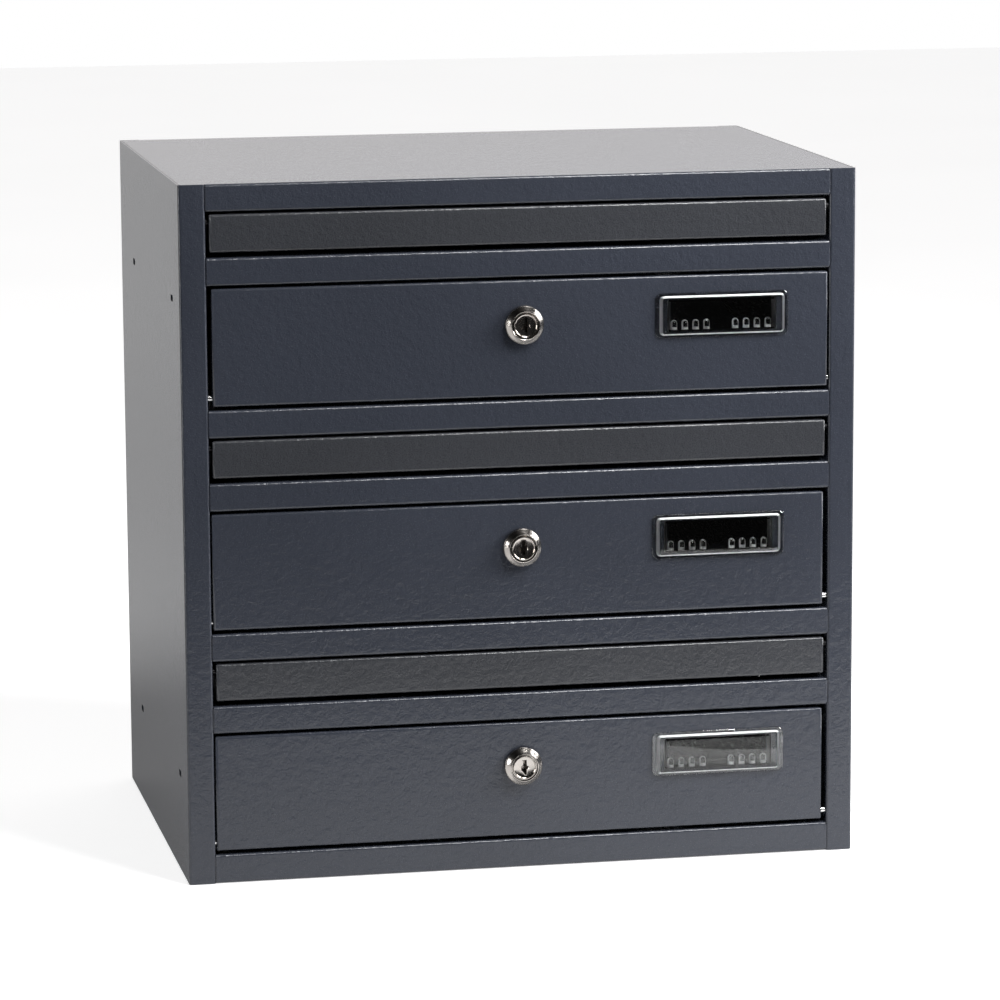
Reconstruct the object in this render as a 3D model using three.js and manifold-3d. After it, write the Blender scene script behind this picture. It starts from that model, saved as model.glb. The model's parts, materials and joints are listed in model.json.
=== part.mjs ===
// Three-compartment letterbox unit in folded steel sheet: each compartment has a letter flap above a
// drop-down door with a cam lock and a clear name window.
// Millimetres, +Z up. The front faces -Y, X runs left to right, and the origin is the centre of the base.
import * as THREE from 'three';
import { mergeVertices } from 'three/addons/utils/BufferGeometryUtils.js';
import Module from 'manifold-3d';

const wasm = await Module();
wasm.setup();

// Housing
const WIDTH = 395;
const DEPTH = 280;
const HEIGHT = 405;
const SHEET = 1;              // thickness of the steel sheet
const BEND = 1.6;             // outside radius of a fold
const SEAM = 0.25;            // gap between two sheets that meet
const STILE = 15.5;           // front face of a side panel
const STILE_RETURN = 18;      // how far a side panel's inner edge runs back
const REAR_FLANGE = 12;
const SIDE_SLOT = { length: 9.5, height: 3.8, corner: 1.8 };
const SIDE_SLOTS_BACK = [34, 214];     // slot distances from the front
const SIDE_SLOTS_UP = [58.6, 337];
const WALL_HOLE_RADIUS = 3.5;
const WALL_HOLES_OUT = 150;
const WALL_HOLES_UP = [40, 352];

// Front, from the top down: top rail, then flap opening, slot rail, door opening and lower rail in turn
const UNITS = 3;
const TOP_RAIL = 15.6;
const RAIL = 15.9;
const RAIL_RETURN = 12;
const SLOT_RAIL_RETURN = 14;
const FLAP_OPENING = 26.3;
const DOOR_OPENING = 71.35;
const SHELF_FLANGE = 10;      // turned-down edge that fixes a shelf to the sides and back

// Letter flap, hinged near its top edge
const FLAP_WIDTH = 360;
const FLAP_HEIGHT = 21.6;
const FLAP_DEPTH = 9;
const FLAP_TOP_GAP = 1.6;
const FLAP_AXIS_DOWN = 4.5;
const FLAP_AXIS_BACK = 4;
const FLAP_PIN_RADIUS = 1.5;

// Door, hinged near its bottom edge
const DOOR_WIDTH = 360.4;
const DOOR_HEIGHT = 67.35;
const DOOR_DEPTH = 14;
const DOOR_BOTTOM_GAP = 2.2;
const DOOR_AXIS_UP = 4.8;
const DOOR_AXIS_BACK = 3.8;
const DOOR_PIN_RADIUS = 1.8;
const DOOR_PLAY = [0.9, -1, -1];       // sideways play that each door has taken up

// Hinge pins and stops
const PIN_CLEARANCE = 0.3;
const PIN_REACH = 6.5;        // from the end of the flap or door into the side panel
const PIN_HEAD = 1.2;
const PIN_HEAD_RADIUS = 2.3;
const STOP_LUG = { reach: 4, height: 7, clearance: 0.5 };

// Cam lock
const LOCK_ABOVE_CENTRE = 8;
const HEAD_RADIUS = 11.25;
const HEAD_FRONT_RADIUS = 8.25;
const HEAD_PROUD = 6.5;
const BARREL_RADIUS = 9.3;
const BARREL_FLAT = 8;        // half width across the barrel's two flats
const BARREL_LENGTH = 14.7;
const PLUG_RADIUS = 6.2;
const PLUG_RECESS = 0.6;
const ROUND_GAP = 0.3;        // radial gap between round parts that fit together
const KEYWAY = { width: 2.2, height: 9, depth: 8 };
const TAIL = 7;               // side of the square tail that turns the cam
const CAM = { start: 15, thickness: 2, length: 35, width: 14 };
const NUT = { acrossFlats: 24, thickness: 4 };
const SCREW = { headRadius: 4.5, head: 1.6, shankRadius: 1.5, shank: 6 };

// Name window, one clear moulding that snaps into a cut-out of the door
const WINDOW_X = 116.8;
const WINDOW_ABOVE_CENTRE = 10.5;
const CUTOUT = { width: 64.5, height: 18.6, corner: 1 };
const WINDOW_FLANGE = { width: 79, height: 26, corner: 3, proud: 1 };
const WINDOW_FACE = { width: 75, height: 23, corner: 2.5, proud: 2.6 };
const WINDOW_PANE = 1.2;
const WINDOW_WALL = 0.9;
const WINDOW_DEPTH = 7;       // of the tray behind the door's face
const PEG = { radius: 1.9, height: 5.4, first: 8.5, pitch: 6.4, perSide: 4, back: 2.6 };
const HOOK = { width: 1, height: 5, thickness: 1.2 };

const BEND_STEPS = 4;
const ROUND_STEPS = 24;
const PIN_STEPS = 16;

const HALF = WIDTH / 2;
const FRONT = -DEPTH / 2;
const BACK = DEPTH / 2;
const OPENING_HALF = HALF - STILE;
const RAIL_HALF = OPENING_HALF - SEAM;
const INNER_HALF = HALF - SHEET - SEAM;
const PITCH = FLAP_OPENING + DOOR_OPENING + 2 * RAIL;
const BOTTOM_RAIL = HEIGHT - TOP_RAIL - UNITS * PITCH + RAIL;

const paint = new THREE.MeshStandardMaterial({ color: 0x383e42, roughness: 0.5, metalness: 0.1 });
const nickel = new THREE.MeshStandardMaterial({ color: 0xc9c6c0, roughness: 0.2, metalness: 1 });
const zinc = new THREE.MeshStandardMaterial({ color: 0xa9adb0, roughness: 0.4, metalness: 1 });
const blackened = new THREE.MeshStandardMaterial({ color: 0x2c2c2d, roughness: 0.45, metalness: 0.6 });
const clear = new THREE.MeshStandardMaterial({
  color: 0xe8eef0, roughness: 0.08, metalness: 0, transparent: true, opacity: 0.35,
});

// Heights of one unit's front, counted from 0 at the top
function unitHeights(index) {
  const flapTop = HEIGHT - TOP_RAIL - index * PITCH;
  const flapBottom = flapTop - FLAP_OPENING;
  const doorTop = flapBottom - RAIL;
  return { flapTop, flapBottom, doorTop, doorBottom: doorTop - DOOR_OPENING };
}

// Solids

function toSolid(geometry) {
  const bare = geometry.clone();
  bare.deleteAttribute('normal');
  bare.deleteAttribute('uv');
  const merged = mergeVertices(bare, 1e-4);
  const index = merged.index.array;
  const triangles = [];
  for (let i = 0; i < index.length; i += 3) {
    const [a, b, c] = [index[i], index[i + 1], index[i + 2]];
    if (a !== b && b !== c && c !== a) triangles.push(a, b, c);
  }
  return new wasm.Manifold(new wasm.Mesh({
    numProp: 3,
    vertProperties: new Float32Array(merged.attributes.position.array),
    triVerts: new Uint32Array(triangles),
  }));
}

function toGeometry(solid) {
  const { vertProperties, triVerts } = solid.getMesh();
  const geometry = new THREE.BufferGeometry();
  geometry.setAttribute('position', new THREE.BufferAttribute(vertProperties, 3));
  geometry.setIndex(new THREE.BufferAttribute(triVerts, 1));
  const flat = geometry.toNonIndexed();
  flat.computeVertexNormals();
  return flat;
}

function named(name, solid, material) {
  const mesh = new THREE.Mesh(toGeometry(solid), material);
  mesh.name = name;
  return mesh;
}

// Box given by its lowest and highest corners
function box([x0, y0, z0], [x1, y1, z1]) {
  const geometry = new THREE.BoxGeometry(x1 - x0, y1 - y0, z1 - z0);
  return toSolid(geometry.translate((x0 + x1) / 2, (y0 + y1) / 2, (z0 + z1) / 2));
}

// A flat shape drawn in (x, y), (y, z) or (z, x) and pushed from one level to another along the third axis
const BASES = {
  z: new THREE.Matrix4(),
  x: new THREE.Matrix4().makeBasis(
    new THREE.Vector3(0, 1, 0), new THREE.Vector3(0, 0, 1), new THREE.Vector3(1, 0, 0)),
  y: new THREE.Matrix4().makeBasis(
    new THREE.Vector3(0, 0, 1), new THREE.Vector3(1, 0, 0), new THREE.Vector3(0, 1, 0)),
};

function prism(shape, axis, from, to) {
  const geometry = new THREE.ExtrudeGeometry(shape, {
    depth: to - from,
    bevelEnabled: false,
    curveSegments: BEND_STEPS / 2,
  });
  return toSolid(geometry.translate(0, 0, from).applyMatrix4(BASES[axis]));
}

// Round bar along X or Y
function bar(axis, radius, from, to, steps = ROUND_STEPS) {
  const geometry = new THREE.CylinderGeometry(radius, radius, to - from, steps);
  geometry.translate(0, (from + to) / 2, 0);
  if (axis === 'x') geometry.rotateZ(-Math.PI / 2);
  return toSolid(geometry);
}

// Turned part along Y; the outline's points are (radius, y), in order round the section
function turned(points, steps = ROUND_STEPS) {
  const outline = points.map(([radius, y]) => new THREE.Vector2(radius, y));
  return toSolid(new THREE.LatheGeometry(outline, steps));
}

// Section of a folded sheet. The path is its outside, with square turns to the left, and the sheet lies on
// the left of it. Every fold gets the outside radius BEND.
function foldedSection(path) {
  const corners = path.map(([u, v]) => new THREE.Vector2(u, v));
  const along = corners.slice(1).map((corner, i) => corner.clone().sub(corners[i]).normalize());
  const left = along.map((d) => new THREE.Vector2(-d.y, d.x));
  const last = along.length - 1;
  const shape = new THREE.Shape();
  const folds = along.slice(1).map((d, i) => {
    const centre = corners[i + 1].clone().addScaledVector(along[i], -BEND).addScaledVector(d, BEND);
    const start = Math.atan2(-left[i].y, -left[i].x);
    return { centre, start, end: start + Math.PI / 2 };
  });
  const innerStart = corners[0].clone().addScaledVector(left[0], SHEET);
  const innerEnd = corners[last + 1].clone().addScaledVector(left[last], SHEET);
  shape.moveTo(innerStart.x, innerStart.y);
  shape.lineTo(corners[0].x, corners[0].y);
  for (const { centre, start, end } of folds) shape.absarc(centre.x, centre.y, BEND, start, end, false);
  shape.lineTo(corners[last + 1].x, corners[last + 1].y);
  shape.lineTo(innerEnd.x, innerEnd.y);
  for (const { centre, start, end } of folds.reverse()) {
    shape.absarc(centre.x, centre.y, BEND - SHEET, end, start, true);
  }
  shape.closePath();
  return shape;
}

// Rectangle centred on the origin, with all four corners rounded
function roundedRectangle(width, height, radius) {
  const [u, v] = [width / 2 - radius, height / 2 - radius];
  const shape = new THREE.Shape();
  [[u, v], [-u, v], [-u, -v], [u, -v]].forEach(([x, y], i) => {
    shape.absarc(x, y, radius, i * Math.PI / 2, (i + 1) * Math.PI / 2, false);
  });
  shape.closePath();
  return shape;
}

// Slab with y from 0 to depth, centred in x and z, whose front edges are rounded. The slab runs past its
// own rounded rear edges, which are cut off flat.
function slab(width, height, depth, radius) {
  const span = 2 * (depth + radius);
  const across = prism(roundedRectangle(width, span, radius), 'z', -height / 2, height / 2);
  const upward = prism(roundedRectangle(span, height, radius), 'x', -width / 2, width / 2);
  const facing = prism(roundedRectangle(height, width, radius), 'y', 0, depth);
  const shift = [0, span / 2, 0];
  return across.translate(shift).intersect(upward.translate(shift)).intersect(facing);
}

// Sheet tray that opens backwards: a front plate with a folded edge on all four sides
function tray(width, height, depth) {
  const hollow = slab(width - 2 * SHEET, height - 2 * SHEET, depth, BEND - SHEET);
  return slab(width, height, depth, BEND).subtract(hollow.translate([0, SHEET, 0]));
}

// Housing

// Side panel: rear flange, side, front stile and the stile's inner return, whose ends are cut back to let
// the end panels pass. Side is 1 on the right and -1 on the left.
function sidePanel(name, side) {
  const path = [
    [OPENING_HALF, FRONT + STILE_RETURN],
    [OPENING_HALF, FRONT],
    [HALF, FRONT],
    [HALF, BACK],
    [HALF - REAR_FLANGE, BACK],
  ].map(([x, y]) => [side * x, y]);
  let solid = prism(foldedSection(side > 0 ? path : path.reverse()), 'z', 0, HEIGHT);
  const endRoom = SHEET + SEAM;
  for (const [low, high] of [[-1, endRoom], [HEIGHT - endRoom, HEIGHT + 1]]) {
    const x = [OPENING_HALF - 1, HALF - SHEET].map((value) => side * value);
    solid = solid.subtract(box(
      [Math.min(...x), FRONT + endRoom, low],
      [Math.max(...x), FRONT + STILE_RETURN + 1, high],
    ));
  }
  const slotOutline = roundedRectangle(SIDE_SLOT.length, SIDE_SLOT.height, SIDE_SLOT.corner);
  for (const back of SIDE_SLOTS_BACK) {
    for (const up of SIDE_SLOTS_UP) {
      const slot = prism(slotOutline, 'x', side * HALF - SHEET - 1, side * HALF + SHEET + 1);
      solid = solid.subtract(slot.translate([0, FRONT + back, up]));
    }
  }
  for (let i = 0; i < UNITS; i += 1) {
    const { flapTop, doorTop, doorBottom } = unitHeights(i);
    const flapAxis = flapTop - FLAP_TOP_GAP - FLAP_AXIS_DOWN;
    const doorAxis = doorBottom + DOOR_BOTTOM_GAP + DOOR_AXIS_UP;
    solid = solid.subtract(pinHole(side, FLAP_PIN_RADIUS, FLAP_AXIS_BACK, flapAxis));
    solid = solid.subtract(pinHole(side, DOOR_PIN_RADIUS, DOOR_AXIS_BACK, doorAxis));
    solid = solid.add(stopLug(side, FLAP_DEPTH, flapAxis - 1.5 * STOP_LUG.height));
    solid = solid.add(stopLug(side, DOOR_DEPTH, doorTop - 2 * STOP_LUG.height));
  }
  return named(name, solid, paint);
}

function pinHole(side, radius, back, up) {
  const hole = bar('x', radius + PIN_CLEARANCE, OPENING_HALF - 3, OPENING_HALF + 3, PIN_STEPS);
  return hole.translate([side < 0 ? -2 * OPENING_HALF : 0, FRONT + back, up]);
}

// Tab on the stile's return that stops a flap or door of the given depth from swinging inwards
function stopLug(side, depth, z) {
  const x = [OPENING_HALF - STOP_LUG.reach, OPENING_HALF + SHEET / 2].map((value) => side * value);
  const y = FRONT + depth + STOP_LUG.clearance;
  return box([Math.min(...x), y, z], [Math.max(...x), y + SHEET, z + STOP_LUG.height]);
}

// Top or bottom panel with its rear flange. Direction is 1 for the top and -1 for the bottom.
function endPanel(name, z, direction) {
  const path = [
    [BACK, z - direction * REAR_FLANGE],
    [BACK, z],
    [FRONT + SHEET + SEAM, z],
  ];
  let solid = prism(foldedSection(direction > 0 ? path : path.reverse()), 'x', -INNER_HALF, INNER_HALF);
  const low = z - REAR_FLANGE - 1;
  const high = z + REAR_FLANGE + 1;
  const flangeHalf = HALF - REAR_FLANGE - SEAM;
  solid = solid.subtract(box([-HALF, BACK - SHEET - SEAM, low], [-flangeHalf, BACK + 1, high]));
  solid = solid.subtract(box([flangeHalf, BACK - SHEET - SEAM, low], [HALF, BACK + 1, high]));
  solid = solid.subtract(box([-OPENING_HALF, FRONT, low], [OPENING_HALF, FRONT + BEND + SEAM, high]));
  return named(name, solid, paint);
}

// Top or bottom rail: front face with one fold to meet the end panel and a return at the opening
function endRail(name, openingEdge, z, direction) {
  const path = [
    [FRONT + BEND, z],
    [FRONT, z],
    [FRONT, openingEdge],
    [FRONT + RAIL_RETURN, openingEdge],
  ];
  const section = foldedSection(direction > 0 ? path : path.reverse());
  const inside = z - direction * (SHEET + SEAM);
  return named(name, prism(section, 'x', -RAIL_HALF, RAIL_HALF).add(railEnds(openingEdge, inside)), paint);
}

// Tabs at both ends of a rail, which are welded to the stiles' returns
function railEnds(z0, z1) {
  const [low, high] = [Math.min(z0, z1) + SHEET / 2, Math.max(z0, z1) - SHEET / 2];
  const tab = box([RAIL_HALF - SHEET, FRONT + SHEET / 2, low], [RAIL_HALF, FRONT + RAIL_RETURN - 1, high]);
  return tab.add(tab.mirror([1, 0, 0]));
}

function slotRail(index) {
  const { flapBottom, doorTop } = unitHeights(index);
  const path = [
    [FRONT + SLOT_RAIL_RETURN, flapBottom],
    [FRONT, flapBottom],
    [FRONT, doorTop],
    [FRONT + SLOT_RAIL_RETURN, doorTop],
  ];
  const channel = prism(foldedSection(path), 'x', -RAIL_HALF, RAIL_HALF);
  return named(`slot_rail_${index + 1}`, channel.add(railEnds(doorTop, flapBottom)), paint);
}

// Compartment floor: its front edge is folded down into the rail under the door, and its wings reach the
// side panels behind the stiles
function shelf(index) {
  const top = unitHeights(index).doorBottom;
  const bottom = top - RAIL;
  const rear = BACK - 2 * (SHEET + SEAM);
  const path = [
    [rear, top - SHELF_FLANGE],
    [rear, top],
    [FRONT, top],
    [FRONT, bottom],
    [FRONT + RAIL_RETURN, bottom],
  ];
  const middle = prism(foldedSection(path), 'x', -RAIL_HALF, RAIL_HALF);
  const wingFront = FRONT + STILE_RETURN + SEAM;
  const wingRear = rear - REAR_FLANGE;
  const floor = box([RAIL_HALF - 1, wingFront, top - SHEET], [INNER_HALF, wingRear, top]);
  const edge = box([INNER_HALF - SHEET, wingFront, top - SHELF_FLANGE], [INNER_HALF, wingRear, top]);
  const wing = floor.add(edge);
  const solid = middle.add(wing).add(wing.mirror([1, 0, 0])).add(railEnds(bottom, top));
  return named(`shelf_${index + 1}`, solid, paint);
}

// Back panel: a shallow tray that opens forwards, inside the rear flanges
function backPanel() {
  const height = HEIGHT - 2 * (SHEET + SEAM);
  let solid = tray(2 * INNER_HALF, height, REAR_FLANGE).mirror([0, 1, 0]);
  solid = solid.translate([0, BACK - SHEET - SEAM, HEIGHT / 2]);
  for (const x of [-WALL_HOLES_OUT, WALL_HOLES_OUT]) {
    for (const z of WALL_HOLES_UP) {
      const hole = bar('y', WALL_HOLE_RADIUS, BACK - 5, BACK, PIN_STEPS);
      solid = solid.subtract(hole.translate([x, 0, z]));
    }
  }
  return named('back_panel', solid, paint);
}

// Hinge pins: a head inside the flap or door, and a shaft through its end into the side panel

function hingePin(name, edge, side, radius, material) {
  const headEnd = edge - SHEET - SEAM;
  const shaft = bar('x', radius, headEnd - PIN_HEAD / 2, edge + PIN_REACH, PIN_STEPS);
  const head = bar('x', PIN_HEAD_RADIUS, headEnd - PIN_HEAD, headEnd, PIN_STEPS);
  const pin = shaft.add(head);
  return named(name, side > 0 ? pin : pin.mirror([1, 0, 0]), material);
}

function hingePins(prefix, edge, radius, y, z, material) {
  return [['left', -1], ['right', 1]].map(([word, side]) => {
    const pin = hingePin(`${prefix}_pin_${word}`, edge, side, radius, material);
    pin.position.set(0, y, z);
    return pin;
  });
}

function pinBore(edge, radius, y, z) {
  return bar('x', radius + PIN_CLEARANCE, -edge - 1, edge + 1, PIN_STEPS).translate([0, y, z]);
}

// Letter flap, drawn from the middle of its top front edge

function flap(number) {
  const group = new THREE.Group();
  const z = -FLAP_AXIS_DOWN;
  let solid = tray(FLAP_WIDTH, FLAP_HEIGHT, FLAP_DEPTH).translate([0, 0, -FLAP_HEIGHT / 2]);
  solid = solid.subtract(pinBore(FLAP_WIDTH / 2, FLAP_PIN_RADIUS, FLAP_AXIS_BACK, z));
  group.add(named(`flap_${number}`, solid, paint));
  const pins = hingePins(`flap_${number}`, FLAP_WIDTH / 2, FLAP_PIN_RADIUS, FLAP_AXIS_BACK, z, blackened);
  group.add(...pins);
  return group;
}

// Door, drawn from the middle of its bottom front edge

function door(number) {
  const group = new THREE.Group();
  const centre = DOOR_HEIGHT / 2;
  const lockUp = centre + LOCK_ABOVE_CENTRE;
  const windowUp = centre + WINDOW_ABOVE_CENTRE;
  const through = [-1, SHEET + 1];
  let solid = tray(DOOR_WIDTH, DOOR_HEIGHT, DOOR_DEPTH).translate([0, 0, centre]);
  const lockHole = flattenedBar(BARREL_RADIUS + ROUND_GAP, BARREL_FLAT + ROUND_GAP, ...through);
  const cutout = prism(roundedRectangle(CUTOUT.height, CUTOUT.width, CUTOUT.corner), 'y', ...through);
  solid = solid.subtract(lockHole.translate([0, 0, lockUp]));
  solid = solid.subtract(cutout.translate([WINDOW_X, 0, windowUp]));
  solid = solid.subtract(pinBore(DOOR_WIDTH / 2, DOOR_PIN_RADIUS, DOOR_AXIS_BACK, DOOR_AXIS_UP));
  group.add(named(`door_${number}`, solid, paint));
  const pins = hingePins(
    `door_${number}`, DOOR_WIDTH / 2, DOOR_PIN_RADIUS, DOOR_AXIS_BACK, DOOR_AXIS_UP, zinc);
  group.add(...pins);
  const lock = camLock(number);
  lock.position.z = lockUp;
  const window = named(`name_window_${number}`, nameWindow(), clear);
  window.position.set(WINDOW_X, 0, windowUp);
  group.add(lock, window);
  return group;
}

// Cam lock, drawn on its axis from the door's front face

function flattenedBar(radius, flat, from, to) {
  return bar('y', radius, from, to).intersect(box([-flat, from, -radius], [flat, to, radius]));
}

function lockBody() {
  const bore = PLUG_RADIUS + ROUND_GAP;
  const head = turned([
    [bore, BARREL_FLAT],
    [bore, PLUG_RECESS - HEAD_PROUD],
    [bore + PLUG_RECESS, -HEAD_PROUD],
    [HEAD_FRONT_RADIUS, -HEAD_PROUD],
    [HEAD_FRONT_RADIUS + PLUG_RECESS, PLUG_RECESS - HEAD_PROUD],
    [HEAD_RADIUS, -1.5],
    [HEAD_RADIUS, -SEAM],
    [BARREL_FLAT - 0.5, -SEAM],
    [BARREL_FLAT - 0.5, BARREL_FLAT],
    [bore, BARREL_FLAT],
  ]);
  const barrel = flattenedBar(BARREL_RADIUS, BARREL_FLAT, -2 * SEAM, BARREL_LENGTH);
  return head.add(barrel.subtract(bar('y', bore, -1, BARREL_LENGTH + 1)));
}

function lockNut() {
  const start = SHEET + SEAM;
  const hexagon = bar('y', NUT.acrossFlats / Math.sqrt(3), start, start + NUT.thickness, 6);
  return hexagon.subtract(bar('y', BARREL_RADIUS + ROUND_GAP, 0, start + NUT.thickness + 1));
}

function lockPlug() {
  const front = PLUG_RECESS - HEAD_PROUD;
  const tailEnd = CAM.start + CAM.thickness + ROUND_GAP;
  const half = TAIL / 2;
  const tail = box([-half, BARREL_LENGTH - 1, -half], [half, tailEnd, half]);
  const slot = box(
    [-KEYWAY.width / 2, front - 1, -KEYWAY.height / 2],
    [KEYWAY.width / 2, front + KEYWAY.depth, KEYWAY.height / 2],
  );
  const notch = box([0, front - 1, -1], [KEYWAY.width, front + KEYWAY.depth, 1]);
  const holeStart = tailEnd - SCREW.shank - 1;
  const screwHole = bar('y', SCREW.shankRadius + ROUND_GAP, holeStart, tailEnd + 1, PIN_STEPS);
  const cylinder = bar('y', PLUG_RADIUS, front, BARREL_LENGTH);
  return cylinder.add(tail).subtract(slot.add(notch)).subtract(screwHole);
}

// The cam points sideways, unlocked; a quarter turn lifts it behind the slot rail
function lockCam() {
  const end = CAM.start + CAM.thickness;
  const hub = bar('y', CAM.width / 2 + 2, CAM.start, end);
  const arm = box([-CAM.length, CAM.start, -CAM.width / 2], [0, end, CAM.width / 2]);
  const half = TAIL / 2 + ROUND_GAP;
  return hub.add(arm).subtract(box([-half, CAM.start - 1, -half], [half, end + 1, half]));
}

function camScrew() {
  const start = CAM.start + CAM.thickness + 2 * ROUND_GAP;
  const head = bar('y', SCREW.headRadius, start, start + SCREW.head, PIN_STEPS);
  const shank = bar('y', SCREW.shankRadius, start - SCREW.shank, start + SCREW.head / 2, PIN_STEPS);
  const slot = box([-SCREW.headRadius, start + SCREW.head - 0.6, -0.5], [SCREW.headRadius, start + 3, 0.5]);
  return head.add(shank).subtract(slot);
}

function camLock(number) {
  const group = new THREE.Group();
  group.add(named(`lock_body_${number}`, lockBody(), nickel));
  group.add(named(`lock_nut_${number}`, lockNut(), zinc));
  group.add(named(`lock_plug_${number}`, lockPlug(), nickel));
  group.add(named(`lock_cam_${number}`, lockCam(), zinc));
  group.add(named(`cam_screw_${number}`, camScrew(), zinc));
  return group;
}

// Name window, drawn from the centre of the cut-out at the door's front face: a flange and raised face
// outside, and a tray behind them with a row of pegs that hold the name card against the pane

function nameWindow() {
  const plate = ({ width, height, corner }, from, to) => (
    prism(roundedRectangle(height, width, corner), 'y', from, to));
  const trayWidth = CUTOUT.width - 2 * ROUND_GAP;
  const trayHeight = CUTOUT.height - 2 * ROUND_GAP;
  const walls = { width: trayWidth, height: trayHeight, corner: CUTOUT.corner - ROUND_GAP };
  const inner = [trayWidth / 2 - WINDOW_WALL, trayHeight / 2 - WINDOW_WALL];
  const cavity = box(
    [-inner[0], WINDOW_PANE - WINDOW_FACE.proud, -inner[1]],
    [inner[0], WINDOW_DEPTH + 1, inner[1]],
  );
  let solid = plate(WINDOW_FLANGE, -WINDOW_FLANGE.proud, -SEAM)
    .add(plate(WINDOW_FACE, -WINDOW_FACE.proud, -SEAM))
    .add(plate(walls, -2 * SEAM, WINDOW_DEPTH))
    .subtract(cavity);
  for (const side of [-1, 1]) {
    for (let i = 0; i < PEG.perSide; i += 1) {
      const x = side * (PEG.first + i * PEG.pitch);
      solid = solid.add(peg().translate([x, PEG.back, -inner[1]]));
    }
    const x = [side * (trayWidth / 2 - WINDOW_WALL / 2), side * (trayWidth / 2 + HOOK.width)];
    solid = solid.add(box(
      [Math.min(...x), SHEET + SEAM, -HOOK.height / 2],
      [Math.max(...x), SHEET + SEAM + HOOK.thickness, HOOK.height / 2],
    ));
  }
  return solid;
}

// Round peg with a domed top, standing on z = 0 and rooted a little below it
function peg() {
  const { radius, height } = PEG;
  const root = WINDOW_WALL / 2;
  const dome = [0, 1, 2].map((step) => {
    const angle = step * Math.PI / 6;
    return new THREE.Vector2(radius * Math.cos(angle), height - radius + radius * Math.sin(angle));
  });
  const outline = [new THREE.Vector2(0, -root), new THREE.Vector2(radius, -root), ...dome,
    new THREE.Vector2(0, height)];
  return toSolid(new THREE.LatheGeometry(outline, PIN_STEPS / 2).rotateX(Math.PI / 2));
}

// Assembly

const mailbox = new THREE.Group();
mailbox.add(sidePanel('left_side_panel', -1));
mailbox.add(sidePanel('right_side_panel', 1));
mailbox.add(endPanel('top_panel', HEIGHT, 1));
mailbox.add(endPanel('bottom_panel', 0, -1));
mailbox.add(backPanel());
mailbox.add(endRail('top_rail', HEIGHT - TOP_RAIL, HEIGHT, 1));
mailbox.add(endRail('bottom_rail', BOTTOM_RAIL, 0, -1));
for (let i = 0; i < UNITS; i += 1) {
  const { flapTop, doorBottom } = unitHeights(i);
  mailbox.add(slotRail(i));
  if (i < UNITS - 1) mailbox.add(shelf(i));
  const letterFlap = flap(i + 1);
  letterFlap.position.set(0, FRONT, flapTop - FLAP_TOP_GAP);
  const dropDoor = door(i + 1);
  dropDoor.position.set(DOOR_PLAY[i], FRONT, doorBottom + DOOR_BOTTOM_GAP);
  mailbox.add(letterFlap, dropDoor);
}

export default mailbox;
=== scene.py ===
import json
import math

import bmesh
import bpy
from mathutils import Matrix, Vector


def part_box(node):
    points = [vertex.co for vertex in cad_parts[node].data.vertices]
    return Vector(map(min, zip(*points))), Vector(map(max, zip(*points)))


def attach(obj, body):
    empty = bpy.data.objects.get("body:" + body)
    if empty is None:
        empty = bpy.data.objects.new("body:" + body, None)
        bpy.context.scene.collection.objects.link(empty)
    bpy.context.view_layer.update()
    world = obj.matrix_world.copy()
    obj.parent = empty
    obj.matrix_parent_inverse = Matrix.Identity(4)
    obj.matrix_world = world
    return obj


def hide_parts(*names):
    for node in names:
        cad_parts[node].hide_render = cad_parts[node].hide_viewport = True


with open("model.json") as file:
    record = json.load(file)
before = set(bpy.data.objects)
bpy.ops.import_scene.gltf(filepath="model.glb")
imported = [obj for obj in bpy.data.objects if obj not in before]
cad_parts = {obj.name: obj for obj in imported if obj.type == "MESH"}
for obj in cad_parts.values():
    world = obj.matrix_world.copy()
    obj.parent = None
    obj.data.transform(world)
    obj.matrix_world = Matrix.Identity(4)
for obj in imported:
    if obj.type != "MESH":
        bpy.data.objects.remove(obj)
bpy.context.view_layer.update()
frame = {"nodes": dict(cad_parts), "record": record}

MM = 0.001
UNITS = (1, 2, 3)
SHARP = math.radians(30)
ROUND_STEPS = 96
CORNER_STEPS = 8
POLE_RADIUS = 0.05

scene = bpy.context.scene
scene.view_settings.view_transform = "Standard"


# ---------------------------------------------------------------- node helpers

class Nodes:
    """A material's or world's node tree, with short calls to add and link nodes."""

    def __init__(self, owner):
        owner.use_nodes = True
        self.tree = owner.node_tree
        self.tree.nodes.clear()

    def add(self, kind, inputs=None, **settings):
        node = self.tree.nodes.new(kind)
        for key, value in settings.items():
            setattr(node, key, value)
        for key, value in (inputs or {}).items():
            if isinstance(value, bpy.types.NodeSocket):
                self.tree.links.new(value, node.inputs[key])
            else:
                node.inputs[key].default_value = value
        return node

    def noise(self, vector, scale, detail=2.0, roughness=0.5, distortion=0.0):
        """The 0 to 1 value of a noise texture; a scale of 500 has features about 2 mm wide."""
        return self.add("ShaderNodeTexNoise", {
            "Vector": vector, "Scale": scale, "Detail": detail, "Roughness": roughness,
            "Distortion": distortion}).outputs["Fac"]

    def ramp(self, factor, stops):
        """Maps a 0 to 1 factor onto colours, given as (position, colour) stops."""
        node = self.add("ShaderNodeValToRGB", {"Fac": factor})
        elements = node.color_ramp.elements
        while len(elements) < len(stops):
            elements.new(0.5)
        for element, (position, colour) in zip(elements, stops):
            element.position = position
            element.color = (*colour, 1)
        return node.outputs["Color"]

    def math(self, operation, a, b):
        return self.add("ShaderNodeMath", {0: a, 1: b}, operation=operation).outputs[0]

    def spread(self, value, low, high):
        """Maps a 0 to 1 value onto low to high."""
        return self.add("ShaderNodeMapRange", {"Value": value, "To Min": low, "To Max": high}).outputs[0]


def object_coordinates(nodes):
    return nodes.add("ShaderNodeTexCoord").outputs["Object"]


def grey(value):
    return (value, value, value)


# ---------------------------------------------------------------- materials

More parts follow.
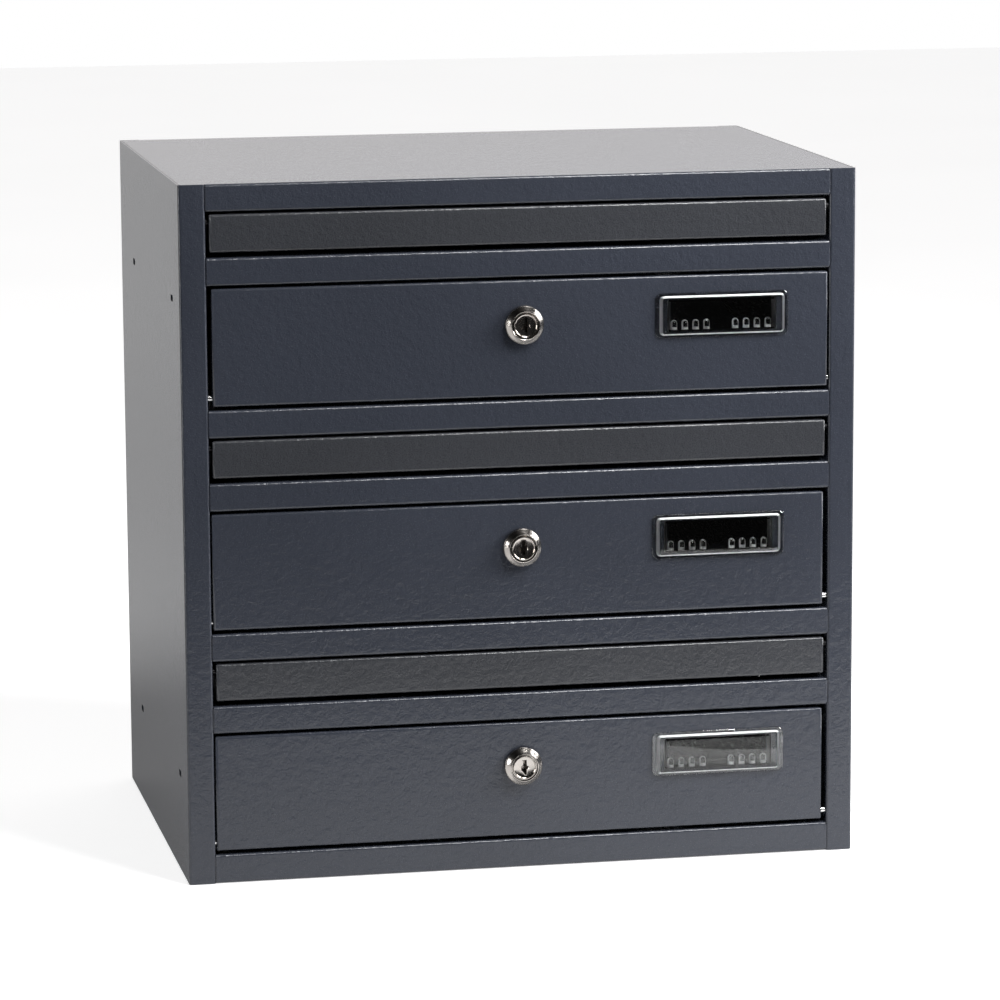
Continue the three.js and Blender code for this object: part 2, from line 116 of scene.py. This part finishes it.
RELIEF = 0.2 * MM
HOUSING_GLOSS = 0.25
FLAP_GLOSS = 0.27


def powder_coat(name, colour, gloss):
    """Semi-gloss powder coat with a leather-like relief of wavy cells about 2 mm wide. The lower the gloss
    number, the smoother the coat shines."""
    material = bpy.data.materials.new(name)
    nodes = Nodes(material)
    place = object_coordinates(nodes)
    leather = nodes.noise(place, scale=620, detail=1.0, distortion=0.8)
    peel = nodes.noise(place, scale=260, detail=0.0)
    relief = nodes.math("ADD", leather, peel)
    bump = nodes.add("ShaderNodeBump", {"Strength": 1.0, "Distance": RELIEF, "Height": relief})
    fine = nodes.noise(place, scale=1500, detail=3, roughness=0.6)
    cloud = nodes.noise(place, scale=9, detail=3)
    dark = [c * 0.93 for c in colour]
    light = [c * 1.07 for c in colour]
    tint = nodes.ramp(cloud, [(0.3, dark), (0.7, light)])
    rough = nodes.spread(fine, gloss - 0.05, gloss + 0.07)
    shader = nodes.add("ShaderNodeBsdfPrincipled", {
        "Base Color": tint, "Roughness": rough, "Normal": bump.outputs["Normal"], "IOR": 1.5})
    nodes.add("ShaderNodeOutputMaterial", {"Surface": shader.outputs["BSDF"]})
    return material


MARK_DEPTH = 0.006 * MM


def plated(name, colour, roughness):
    """Bright plating over turned or stamped metal, with faint marks and cloudy tone."""
    material = bpy.data.materials.new(name)
    nodes = Nodes(material)
    place = object_coordinates(nodes)
    marks = nodes.noise(place, scale=2500, detail=3, roughness=0.6)
    cloud = nodes.noise(place, scale=160)
    tint = nodes.ramp(cloud, [(0.3, [c * 0.86 for c in colour]), (0.7, colour)])
    bump = nodes.add("ShaderNodeBump", {"Strength": 0.6, "Distance": MARK_DEPTH, "Height": marks})
    rough = nodes.spread(cloud, roughness * 0.8, roughness * 1.25)
    shader = nodes.add("ShaderNodeBsdfPrincipled", {
        "Base Color": tint, "Metallic": 1.0, "Roughness": rough, "Normal": bump.outputs["Normal"]})
    nodes.add("ShaderNodeOutputMaterial", {"Surface": shader.outputs["BSDF"]})
    return material


def clear_moulding(name, transmission, roughness, colour, specular=0.5):
    """Clear moulded plastic with a faint ripple; less transmission and more roughness make it hazy."""
    material = bpy.data.materials.new(name)
    nodes = Nodes(material)
    place = object_coordinates(nodes)
    ripple = nodes.noise(place, scale=220)
    bump = nodes.add("ShaderNodeBump", {"Strength": 0.3, "Distance": 0.02 * MM, "Height": ripple})
    tint = nodes.ramp(ripple, [(0.3, [c * 0.96 for c in colour]), (0.7, colour)])
    shader = nodes.add("ShaderNodeBsdfPrincipled", {
        "Base Color": tint, "Roughness": roughness, "Transmission Weight": transmission,
        "Specular IOR Level": specular, "IOR": 1.5, "Normal": bump.outputs["Normal"]})
    nodes.add("ShaderNodeOutputMaterial", {"Surface": shader.outputs["BSDF"]})
    return material


def painted_highlight_plastic(name, colour):
    """Milky, part-mirror stand-in for clear plastic, given to chosen bevels and peg faces so that they look
    bright: a painted highlight.
    """
    material = bpy.data.materials.new(name)
    nodes = Nodes(material)
    cloud = nodes.noise(object_coordinates(nodes), scale=700)
    tint = nodes.ramp(cloud, [(0.35, [c * 0.75 for c in colour]), (0.6, colour)])
    bump = nodes.add("ShaderNodeBump", {"Strength": 0.5, "Distance": 0.03 * MM, "Height": cloud})
    shader = nodes.add("ShaderNodeBsdfPrincipled", {
        "Base Color": tint, "Metallic": 0.6, "Roughness": 0.3, "Normal": bump.outputs["Normal"]})
    nodes.add("ShaderNodeOutputMaterial", {"Surface": shader.outputs["BSDF"]})
    return material


HOUSING_PAINT = powder_coat("housing_paint", (0.0235, 0.0268, 0.0362), HOUSING_GLOSS)
FLAP_PAINT = powder_coat("flap_paint", (0.0255, 0.027, 0.031), FLAP_GLOSS)
NICKEL = plated("nickel", (0.48, 0.45, 0.42), 0.17)
ZINC = plated("zinc", (0.66, 0.67, 0.68), 0.28)
STEEL = plated("pin_steel", (0.70, 0.70, 0.70), 0.24)
# Near-black flap pins, so they look like the shade in the gaps beside the flaps: painted shade.
DARK_PINS_PAINTED_SHADE = plated("blackened_steel", (0.030, 0.030, 0.032), 0.40)
CLEAR = clear_moulding("clear_plastic", transmission=1.0, roughness=0.03, colour=(0.97, 0.98, 0.98))
# Grey hazy plastic for the window's side bevels and the pocket's side walls: painted shade.
PAINTED_SHADE_PLASTIC = clear_moulding(
    "clear_plastic_painted_shade", transmission=0.94, roughness=0.30, colour=(0.62, 0.64, 0.66), specular=0.2)
# Milky plastic for the window's top and bottom bevels and for the pegs' rims and feet: a painted highlight.
PAINTED_HIGHLIGHT_PLASTIC = painted_highlight_plastic("clear_plastic_painted_highlight", (0.74, 0.75, 0.76))

SLOT_MATERIALS = {
    "grey_powder_coat": HOUSING_PAINT,
    "flap_powder_coat": FLAP_PAINT,
    "lock_nickel": NICKEL,
    "zinc_plate": ZINC,
    "hinge_steel": STEEL,
    "blackened_steel": DARK_PINS_PAINTED_SHADE,
    "clear_plastic": CLEAR,
}


# ---------------------------------------------------------------- mesh helpers

def piece_from(name, mesh, origin, materials):
    """An object with its origin at a point of the frame, whose mesh is drawn around that point."""
    for material in materials:
        mesh.materials.append(material)
    piece = bpy.data.objects.new(name, mesh)
    piece.location = origin
    scene.collection.objects.link(piece)
    return piece


def smooth(mesh):
    mesh.polygons.foreach_set("use_smooth", [True] * len(mesh.polygons))
    mesh.set_sharp_from_angle(angle=SHARP)


def ringed_mesh(name, rings, closed_round=False):
    """Joins rings of equally many points with quads. Unless the rings close on themselves, the first and last
    are capped."""
    build = bmesh.new()
    rows = [[build.verts.new(point) for point in ring] for ring in rings]
    pairs = list(zip(rows, rows[1:] + rows[:1] if closed_round else rows[1:]))
    for near, far in pairs:
        for i in range(len(near)):
            j = (i + 1) % len(near)
            build.faces.new((near[i], near[j], far[j], far[i]))
    if not closed_round:
        build.faces.new(rows[0])
        build.faces.new(rows[-1])
    bmesh.ops.recalc_face_normals(build, faces=build.faces)
    mesh = bpy.data.meshes.new(name)
    build.to_mesh(mesh)
    build.free()
    return mesh


def turned_mesh(name, outline, steps=ROUND_STEPS, closed_round=False):
    """Turned part round the Y axis; the outline holds (radius, y) in millimetres."""
    rings = []
    for radius, y in outline:
        angles = [2 * math.pi * i / steps for i in range(steps)]
        rings.append([Vector((radius * math.cos(a), y, radius * math.sin(a))) * MM for a in angles])
    return ringed_mesh(name, rings, closed_round)


def rounded_ring(width, height, corner, y):
    """Points of a rounded rectangle in the XZ plane, in millimetres, at one depth."""
    points = []
    for quarter, (sx, sz) in enumerate([(1, 1), (-1, 1), (-1, -1), (1, -1)]):
        centre = (sx * (width / 2 - corner), sz * (height / 2 - corner))
        for step in range(CORNER_STEPS + 1):
            angle = math.pi / 2 * (quarter + step / CORNER_STEPS)
            points.append(Vector((
                centre[0] + corner * math.cos(angle), y, centre[1] + corner * math.sin(angle))) * MM)
    return points


def prism_mesh(name, outline, from_y, to_y):
    """Outline of (x, z) points in millimetres, pushed along Y."""
    rings = [[Vector((x, y, z)) * MM for x, z in outline] for y in (from_y, to_y)]
    return ringed_mesh(name, rings)


def merge_into(mesh, parts):
    """Adds the faces of other meshes to a mesh."""
    build = bmesh.new()
    for part in (mesh, *parts):
        build.from_mesh(part)
    build.to_mesh(mesh)
    build.free()


def apply_modifiers(piece):
    graph = bpy.context.evaluated_depsgraph_get()
    made = bpy.data.meshes.new_from_object(piece.evaluated_get(graph))
    piece.modifiers.clear()
    piece.data = made


def cut(piece, mesh):
    """Takes a closed mesh, drawn around the piece's own origin, out of the piece."""
    cutter = piece_from("cutter", mesh, piece.location, [])
    bpy.context.view_layer.update()
    modifier = piece.modifiers.new("cut", "BOOLEAN")
    modifier.object = cutter
    modifier.solver = "EXACT"
    apply_modifiers(piece)
    bpy.data.objects.remove(cutter)


# ---------------------------------------------------------------- sheet metal and small hardware

WELD_DISTANCE = 0.001 * MM
EDGE_WIDTH = 0.12 * MM
EDGE_ANGLE = math.radians(50)

RAIL_HEIGHT = 15.9 * MM
SEAM_INSET = 1.2 * MM

# The filler's section, as (past the rail's end, behind its face) in millimetres.
SEAM_SECTION = [(-0.02, 0.32), (0.30, 0.40), (0.75, 0.52), (0.45, 0.75), (0.25, 1.5), (-0.02, 1.5)]


def finish_cad_nodes():
    """Modifiers weld every CAD node and round its edges; it is smooth across its folds and has its slot's
    material."""
    slots = {part["node"]: part["material_slot"] for part in frame["record"]["subparts"]}
    for name, node in frame["nodes"].items():
        node.data.materials.clear()
        node.data.materials.append(SLOT_MATERIALS[slots[name]])
        weld = node.modifiers.new("weld", "WELD")
        weld.merge_threshold = WELD_DISTANCE
        node.data.polygons.foreach_set("use_smooth", [True] * len(node.data.polygons))
        bevel = node.modifiers.new("edges", "BEVEL")
        bevel.width = EDGE_WIDTH
        bevel.segments = 2
        bevel.limit_method = "ANGLE"
        bevel.angle_limit = EDGE_ANGLE
        bevel.harden_normals = True
        normals = node.modifiers.new("normals", "WEIGHTED_NORMAL")
        normals.weight = 100


def add_seams():
    """Paint that bridges the groove between each rail's end and the stile beside it."""
    rails = ["top_rail", "bottom_rail"] + [f"slot_rail_{k}" for k in UNITS] + ["shelf_1", "shelf_2"]
    rail_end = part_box("top_rail")[1].x / MM
    for rail in rails:
        low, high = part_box(rail)
        if rail.startswith("shelf"):
            low = Vector((low.x, low.y, high.z - RAIL_HEIGHT))
        for side, word in ((-1, "left"), (1, "right")):
            outline = [(side * (rail_end + past), behind) for past, behind in SEAM_SECTION]
            ends = (low.z + SEAM_INSET, high.z - SEAM_INSET)
            rings = [[Vector((x * MM, low.y + y * MM, z)) for x, y in outline] for z in ends]
            seam = piece_from(f"{rail}_seam_{word}", ringed_mesh("seam", rings), (0, 0, 0), [HOUSING_PAINT])
            smooth(seam.data)
            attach(seam, "housing")


# ---------------------------------------------------------------- cam lock

# In millimetres. Both outlines hold (radius, y), where y = 0 is the door's face and minus is outwards.
LOCK_STANDOUT = 6.5
LOCK_OUTLINE = [
    (6.4, 14.5), (6.4, -4.9), (7.45, -4.9), (7.65, -5.1), (7.72, -5.6), (7.85, -5.85), (8.05, -5.95),
    (8.28, -5.88), (8.5, -5.6), (9.3, -4.75), (10.4, -3.65), (10.95, -3.05), (11.15, -2.75), (11.25, -2.4),
    (11.25, -0.45), (11.1, -0.28), (10.9, -0.25), (9.3, -0.25), (9.3, 14.3), (9.1, 14.5),
]
BARREL_FLAT = 8.0
FLAT_REACH = 14
FLAT_HALF_HEIGHT = 12
FLAT_DEPTHS = (-0.2, 20)
PLUG_RADIUS = 6.2
PLUG_END = 14.7
PLUG_OUTLINE = [
    (POLE_RADIUS, -5.3), (5.75, -5.3), (6.0, -5.4), (6.15, -6.1), (6.3, -6.4), (6.5, -6.5), (6.75, -6.45),
    (6.95, -6.2), (7.05, -5.8), (7.05, -5.2), (PLUG_RADIUS, -5.2), (PLUG_RADIUS, PLUG_END),
    (POLE_RADIUS, PLUG_END),
]
TAIL_HALF = 3.5
TAIL_END = 17.3
KEYWAY = [
    (-1.2, 4.1), (1.0, 4.2), (1.1, 0.9), (2.1, 0.55), (2.3, -0.2), (2.0, -0.95), (1.1, -1.1), (1.0, -4.1),
    (0.1, -4.3), (-0.9, -2.4), (-1.8, -1.6), (-1.7, 0.4), (-0.8, 1.5), (-0.7, 2.6),
]

# The cut flares towards its mouth. Each ring is an outline and its y.
KEYWAY_MOUTH = [(x * 1.35, z * 1.12) for x, z in KEYWAY]
KEYWAY_RINGS = [(KEYWAY_MOUTH, -8), (KEYWAY_MOUTH, -5.7), (KEYWAY, -4.9), (KEYWAY, 3)]


def lock_flat(side):
    """The block that is cut away to leave one flat on the threaded barrel."""
    near, far = side * BARREL_FLAT, side * FLAT_REACH
    foot = [(near, -FLAT_HALF_HEIGHT), (far, -FLAT_HALF_HEIGHT)]
    head = [(far, FLAT_HALF_HEIGHT), (near, FLAT_HALF_HEIGHT)]
    return prism_mesh("flat", foot + head, *FLAT_DEPTHS)


def keyway_mesh():
    """The block that is cut away to leave the keyway."""
    rings = [[Vector((x, y, z)) * MM for x, z in points] for points, y in KEYWAY_RINGS]
    return ringed_mesh("keyway", rings)


def add_lock(k):
    """Redraws the lock's head and barrel, and its plug, with finer rings than the CAD bodies have."""
    low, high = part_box(f"lock_body_{k}")
    face = low.y + LOCK_STANDOUT * MM
    axis = Vector(((low.x + high.x) / 2, face, (low.z + high.z) / 2))
    head_mesh = turned_mesh("lock_head", LOCK_OUTLINE, closed_round=True)
    body = piece_from(f"lock_head_{k}", head_mesh, axis, [NICKEL])
    for side in (-1, 1):
        cut(body, lock_flat(side))
    smooth(body.data)
    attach(body, f"door_{k}")
    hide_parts(f"lock_body_{k}")

    plug = piece_from(f"lock_core_{k}", turned_mesh("lock_core", PLUG_OUTLINE), axis, [NICKEL])
    cut(plug, keyway_mesh())
    tail = [(TAIL_HALF * x, TAIL_HALF * z) for x, z in ((-1, -1), (1, -1), (1, 1), (-1, 1))]
    merge_into(plug.data, [prism_mesh("tail", tail, PLUG_END, TAIL_END)])
    smooth(plug.data)
    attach(plug, f"lock_{k}")
    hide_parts(f"lock_plug_{k}")


# ---------------------------------------------------------------- name window

# Each section is (width, height, corner radius, y) in millimetres. They run from the raised front out to the
# flange, back along the frame behind it, and forward again inside it.
WINDOW_STANDOUT = 2.6
WINDOW_SECTIONS = [
    (71.0, 20.9, 1.2, -2.6),
    (71.8, 21.4, 1.6, -2.5),
    (73.9, 22.6, 2.4, -1.5),
    (74.4, 22.9, 2.6, -1.0),
    (78.2, 25.4, 3.4, -0.9),
    (79.0, 26.0, 3.6, -0.6),
    (79.0, 26.0, 3.6, -0.25),
    (63.9, 18.0, 0.7, -0.25),
    (63.9, 18.0, 0.7, 7.0),
    (62.1, 16.2, 0.5, 7.0),
    (62.1, 16.2, 0.5, -1.4),
]
# Clear plastic, then the milky painted highlight, then the grey painted shade.
WINDOW_MATERIALS = [CLEAR, PAINTED_HIGHLIGHT_PLASTIC, PAINTED_SHADE_PLASTIC]
HIGHLIGHT_INDEX = 1
SHADE_INDEX = 2

# Faces between these depths are the raised front's bevels.
RIM_FRONT = -2.59
RIM_BACK = -1.0

# In millimetres from the window's middle and the door's face.
PEG_RADIUS = 1.9
PEG_HEIGHT = 5.4
PEG_BASE = -8.1
PEG_FOOT = -6.9
PEG_SINK = 0.2
PEG_DEPTH = 2.6
PEG_FIRST = 8.5
PEG_PITCH = 6.4
PEGS_A_SIDE = 4
PEG_STEPS = 24
DOME_STEPS = 6


def window_centre(k):
    low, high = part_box(f"name_window_{k}")
    face = low.y + WINDOW_STANDOUT * MM
    return Vector(((low.x + high.x) / 2, face, (low.z + high.z) / 2))


def add_window(k):
    """The clear name window. Its top and bottom bevels get a painted highlight, a milky plastic, and its side
    bevels and the pocket's side walls get painted shade, a grey hazy plastic.
    """
    mesh = ringed_mesh("name_window", [rounded_ring(*section) for section in WINDOW_SECTIONS])
    window = piece_from(f"window_{k}", mesh, window_centre(k), WINDOW_MATERIALS)
    for polygon in mesh.polygons:
        y = polygon.center.y / MM
        sideways = abs(polygon.normal.x) > abs(polygon.normal.z)
        # Top and bottom bevels get the painted highlight, and sideways bevels get the painted shade.
        if RIM_FRONT < y < RIM_BACK and abs(polygon.normal.y) < 0.99:
            polygon.material_index = SHADE_INDEX if sideways else HIGHLIGHT_INDEX
        elif y > 0 and sideways and polygon.normal.y < 0.5:
            polygon.material_index = SHADE_INDEX
    smooth(mesh)
    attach(window, f"door_{k}")
    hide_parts(f"name_window_{k}")


def peg_outline():
    """A round peg with a domed top, as (radius, height) in millimetres."""
    shoulder = PEG_HEIGHT - PEG_RADIUS
    outline = [(POLE_RADIUS, -PEG_SINK), (PEG_RADIUS, -PEG_SINK)]
    outline += [(PEG_RADIUS, PEG_FOOT - PEG_BASE), (PEG_RADIUS, shoulder)]
    for step in range(1, DOME_STEPS + 1):
        angle = math.pi / 2 * step / DOME_STEPS
        radius = max(PEG_RADIUS * math.cos(angle), POLE_RADIUS)
        outline.append((radius, shoulder + PEG_RADIUS * math.sin(angle)))
    return outline


def add_pegs(k):
    """Two groups of upright pegs inside the window. Their faces that point sideways or up, and their feet,
    get the milky plastic as a painted highlight.
    """
    upright = Matrix.Rotation(math.pi / 2, 4, "X")
    meshes = []
    for side in (-1, 1):
        for i in range(PEGS_A_SIDE):
            peg = turned_mesh("peg", peg_outline(), PEG_STEPS)
            at = Vector((side * (PEG_FIRST + PEG_PITCH * i), PEG_DEPTH, PEG_BASE)) * MM
            peg.transform(Matrix.Translation(at) @ upright)
            meshes.append(peg)
    pegs_mesh = bpy.data.meshes.new("pegs")
    merge_into(pegs_mesh, meshes)
    smooth(pegs_mesh)
    pegs = piece_from(f"window_pegs_{k}", pegs_mesh, window_centre(k), [CLEAR, PAINTED_HIGHLIGHT_PLASTIC])
    for polygon in pegs_mesh.polygons:
        # Faces that point neither to the front nor to the back, and the feet, get the painted highlight.
        rim = abs(polygon.normal.y) < 0.7
        foot = polygon.center.z < PEG_FOOT * MM
        if rim or foot:
            polygon.material_index = HIGHLIGHT_INDEX
    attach(pegs, f"door_{k}")


finish_cad_nodes()
add_seams()
for unit in UNITS:
    add_lock(unit)
    add_window(unit)
    add_pegs(unit)


# ---------------------------------------------------------------- stage, lights and camera

FLOOR_FRONT = -0.56
FLOOR_BACK = 6.0
FLOOR_HALF = 5.0
FLOOR_DROP = 0.5 * MM
FLOOR_GLOW_SEEN = 0.75
# The floor glows less near the object than far away: painted shade.
FLOOR_GLOW_NEAR = 0.12
FLOOR_GLOW_FAR = 0.55
GLOW_FROM = 0.3
GLOW_TO = 2.4
BACKDROP_STRENGTH = 1.25

# Name, place, aim, size in metres and power in watts.
SOFTBOXES = [
    ("key", (0.40, -0.80, 1.35), (0.1, -0.14, 0.25), (0.42, 0.55), 23),
    ("right", (0.95, -0.5, 0.75), (0.2, -0.14, 0.3), (0.4, 0.6), 26),
    ("left_strip", (-1.5, -0.62, 0.36), (0, -0.14, 0.25), (0.22, 0.6), 7),
]

CAMERA_LENS = 166.03
CAMERA_SENSOR = 36
CAMERA_PLACE = (-0.52503, -2.70956, 0.67071)
CAMERA_TURN = (80.2023, 0.3299, -11.3125)


def add_floor():
    """A pale floor that looks white to the camera. The glow it gives to the object's reflections is weaker
    towards the object, least beside it: painted shade of the object's shadow on the floor.
    """
    mesh = bpy.data.meshes.new("floor")
    front = [(-FLOOR_HALF, FLOOR_FRONT, 0), (FLOOR_HALF, FLOOR_FRONT, 0)]
    back = [(FLOOR_HALF, FLOOR_BACK, 0), (-FLOOR_HALF, FLOOR_BACK, 0)]
    mesh.from_pydata(front + back, [], [(0, 1, 2, 3)])
    floor = piece_from("floor", mesh, (0, 0, -FLOOR_DROP), [])
    material = bpy.data.materials.new("pale_floor")
    nodes = Nodes(material)
    cloud = nodes.noise(object_coordinates(nodes), scale=3)
    tint = nodes.ramp(cloud, [(0.3, grey(0.68)), (0.7, grey(0.72))])
    away = nodes.add("ShaderNodeSeparateXYZ", {"Vector": object_coordinates(nodes)}).outputs["Y"]
    painted_shade_glow = nodes.add("ShaderNodeMapRange", {
        "Value": away, "From Min": GLOW_FROM, "From Max": GLOW_TO,
        "To Min": FLOOR_GLOW_NEAR, "To Max": FLOOR_GLOW_FAR}).outputs[0]
    seen = nodes.add("ShaderNodeLightPath").outputs["Is Camera Ray"]
    glow = nodes.math("MAXIMUM", nodes.math("MULTIPLY", seen, FLOOR_GLOW_SEEN), painted_shade_glow)
    shader = nodes.add("ShaderNodeBsdfPrincipled", {
        "Base Color": tint, "Roughness": 0.9, "Specular IOR Level": 0.0, "Emission Color": (1, 1, 1, 1),
        "Emission Strength": glow})
    nodes.add("ShaderNodeOutputMaterial", {"Surface": shader.outputs["BSDF"]})
    mesh.materials.append(material)


def add_world():
    """White behind the object, dark in front of it and overhead. The camera sees plain white all round."""
    world = bpy.data.worlds.new("studio")
    scene.world = world
    nodes = Nodes(world)
    direction = nodes.add("ShaderNodeTexCoord").outputs["Generated"]
    split = nodes.add("ShaderNodeSeparateXYZ", {"Vector": direction})
    back = nodes.ramp(split.outputs["Y"], [(0.0, grey(0.015)), (0.45, (1.0, 0.98, 0.98))])
    above = nodes.ramp(split.outputs["Z"], [(0.5, grey(1.0)), (0.85, grey(0.05))])
    wall = nodes.add("ShaderNodeVectorMath", {0: back, 1: above}, operation="MULTIPLY").outputs[0]
    surround = nodes.add("ShaderNodeBackground", {"Color": wall, "Strength": BACKDROP_STRENGTH})
    seen = nodes.add("ShaderNodeBackground", {"Color": (1, 1, 1, 1), "Strength": 1.0})
    ray = nodes.add("ShaderNodeLightPath").outputs["Is Camera Ray"]
    mix = nodes.add("ShaderNodeMixShader", {
        0: ray, 1: surround.outputs["Background"], 2: seen.outputs["Background"]})
    nodes.add("ShaderNodeOutputWorld", {"Surface": mix.outputs["Shader"]})


def add_softbox(name, at, towards, size, power):
    light = bpy.data.lights.new(name, "AREA")
    light.shape = "RECTANGLE"
    light.size, light.size_y = size
    light.energy = power
    lamp = bpy.data.objects.new(name, light)
    lamp.location = at
    lamp.rotation_euler = (Vector(towards) - Vector(at)).to_track_quat("-Z", "Y").to_euler()
    lamp.visible_camera = False
    scene.collection.objects.link(lamp)


def add_camera():
    camera = bpy.data.cameras.new("camera")
    camera.lens = CAMERA_LENS
    camera.sensor_width = CAMERA_SENSOR
    eye = bpy.data.objects.new("camera", camera)
    eye.location = CAMERA_PLACE
    eye.rotation_euler = [math.radians(angle) for angle in CAMERA_TURN]
    scene.collection.objects.link(eye)
    scene.camera = eye


add_floor()
add_world()
for softbox in SOFTBOXES:
    add_softbox(*softbox)
add_camera()
